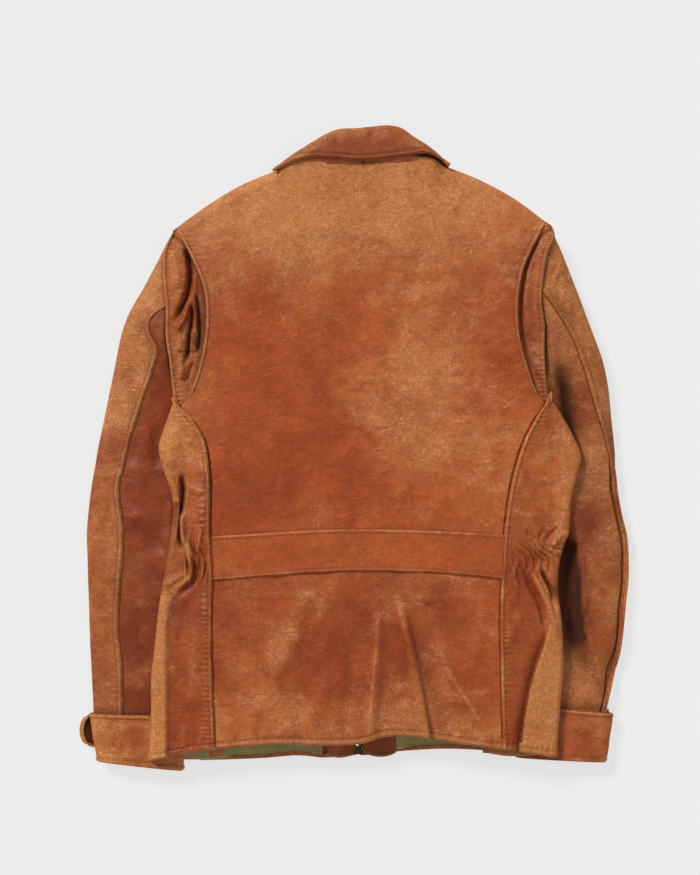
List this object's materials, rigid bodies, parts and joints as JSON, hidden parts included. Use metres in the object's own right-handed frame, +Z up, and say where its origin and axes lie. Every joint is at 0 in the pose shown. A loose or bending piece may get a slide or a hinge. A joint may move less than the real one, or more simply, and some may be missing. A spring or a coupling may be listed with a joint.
{
  "type": "leather riding jacket",
  "caption": "Waist-length brown leather jacket lying face down: pleated back with set-in half belt, turned-down collar, zipped front, two-piece sleeves with snap-tab cuffs.",
  "frame": {"origin": "middle of the jacket's outline on the surface it lies on", "axes": "+Z up from the surface towards the jacket's back, +Y from the hem to the collar, +X to the wearer's right"},
  "size_m": [0.658, 0.7692, 0.0492],
  "materials": {
    "leather_back": "worn semi-gloss",
    "leather_trim": "worn semi-gloss",
    "leather_side": "worn semi-gloss",
    "leather_sleeve": "worn semi-gloss",
    "leather_front": "semi-gloss",
    "lining": "matt twill",
    "elastic": "matt",
    "zip_tape": "matt weave",
    "zip_metal": "aged",
    "snap_metal": "aged"
  },
  "bodies": {
    "torso": {"back_lining": "lining", "back_skirt": "leather_back", "back_upper": "leather_back", "collar_stand_back_left": "leather_trim", "collar_stand_back_right": "leather_trim", "collar_stand_front_left": "leather_trim", "collar_stand_front_right": "leather_trim", "front_facing_left": "leather_front", "front_facing_right": "leather_front", "front_lining_left": "lining", "front_lining_right": "lining", "front_panel_left": "leather_front", "front_panel_right": "leather_front", "half_belt": "leather_trim", "hanger_loop": "leather_front", "pleat_gusset_left": "leather_side", "pleat_gusset_right": "leather_side", "pocket_bag_left": "lining", "pocket_bag_right": "lining", "pocket_welt_left": "leather_front", "pocket_welt_right": "leather_front", "side_panel_left": "leather_side", "side_panel_right": "leather_side", "waist_elastic_left": "elastic", "waist_elastic_right": "elastic", "zip_box": "zip_metal", "zip_pin": "zip_metal", "zip_stops": "zip_metal", "zip_tape_left": "zip_tape", "zip_tape_right": "zip_tape", "zip_teeth_left": "zip_metal", "zip_teeth_right": "zip_metal"},
    "sleeve_left": {"cuff_left": "leather_sleeve", "sleeve_lining_left": "lining", "sleeve_outer_left": "leather_sleeve", "sleeve_under_left": "leather_sleeve", "snap_stud_left": "snap_metal"},
    "sleeve_right": {"cuff_right": "leather_sleeve", "sleeve_lining_right": "lining", "sleeve_outer_right": "leather_sleeve", "sleeve_under_right": "leather_sleeve", "snap_stud_right": "snap_metal"},
    "cuff_tab_left": {"cuff_tab_left": "leather_sleeve", "snap_cap_left": "snap_metal"},
    "cuff_tab_right": {"cuff_tab_right": "leather_sleeve", "snap_cap_right": "snap_metal"},
    "collar_leaf": {"collar_leaf": "leather_trim", "collar_underleaf": "leather_trim"},
    "collar_point_left": {"collar_point_left": "leather_trim"},
    "collar_point_right": {"collar_point_right": "leather_trim"},
    "zip_slider": {"zip_slider": "zip_metal"},
    "zip_pull": {"zip_pull": "zip_metal"}
  },
  "joints": [
    {"name": "sleeve_left_swing", "type": "hinge", "parent": "torso", "child": "sleeve_left", "pos_m": [-0.221, 0.264, 0.017], "axis": [0, 0, 1], "range_deg": [-20, 0]},
    {"name": "sleeve_right_swing", "type": "hinge", "parent": "torso", "child": "sleeve_right", "pos_m": [0.221, 0.264, 0.017], "axis": [0, 0, 1], "range_deg": [0, 20]},
    {"name": "cuff_tab_left_open", "type": "hinge", "parent": "sleeve_left", "child": "cuff_tab_left", "pos_m": [-0.286, -0.344, 0.0019], "axis": [0, -1, 0], "range_deg": [0, 150]},
    {"name": "cuff_tab_right_open", "type": "hinge", "parent": "sleeve_right", "child": "cuff_tab_right", "pos_m": [0.303, -0.336, 0.0019], "axis": [0, -1, 0], "range_deg": [0, 150]},
    {"name": "collar_turn_up", "type": "hinge", "parent": "torso", "child": "collar_leaf", "pos_m": [0, 0.382, 0.0445], "axis": [-1, 0, 0], "range_deg": [0, 150]},
    {"name": "collar_point_right_turn", "type": "hinge", "parent": "torso", "child": "collar_point_right", "pos_m": [0.011, 0.298, 0.002], "axis": [0.3334, 0.9428, 0], "range_deg": [0, 75]},
    {"name": "collar_point_left_turn", "type": "hinge", "parent": "torso", "child": "collar_point_left", "pos_m": [-0.011, 0.298, 0.002], "axis": [0.3334, -0.9428, 0], "range_deg": [0, 75]},
    {"name": "zip_slide", "type": "slide", "parent": "torso", "child": "zip_slider", "axis": [0, -1, 0], "range_m": [0, 0.604], "deforming": ["zip_teeth_left", "zip_teeth_right", "zip_tape_left", "zip_tape_right"]},
    {"name": "zip_pull_swing", "type": "hinge", "parent": "zip_slider", "child": "zip_pull", "pos_m": [0, 0.253, 0.0021], "axis": [1, 0, 0], "range_deg": [0, 170]}
  ],
  "couplings": [
    {"joint": "collar_point_right_turn", "follows": "collar_turn_up", "ratio": 0.5},
    {"joint": "collar_point_left_turn", "follows": "collar_turn_up", "ratio": 0.5}
  ]
}
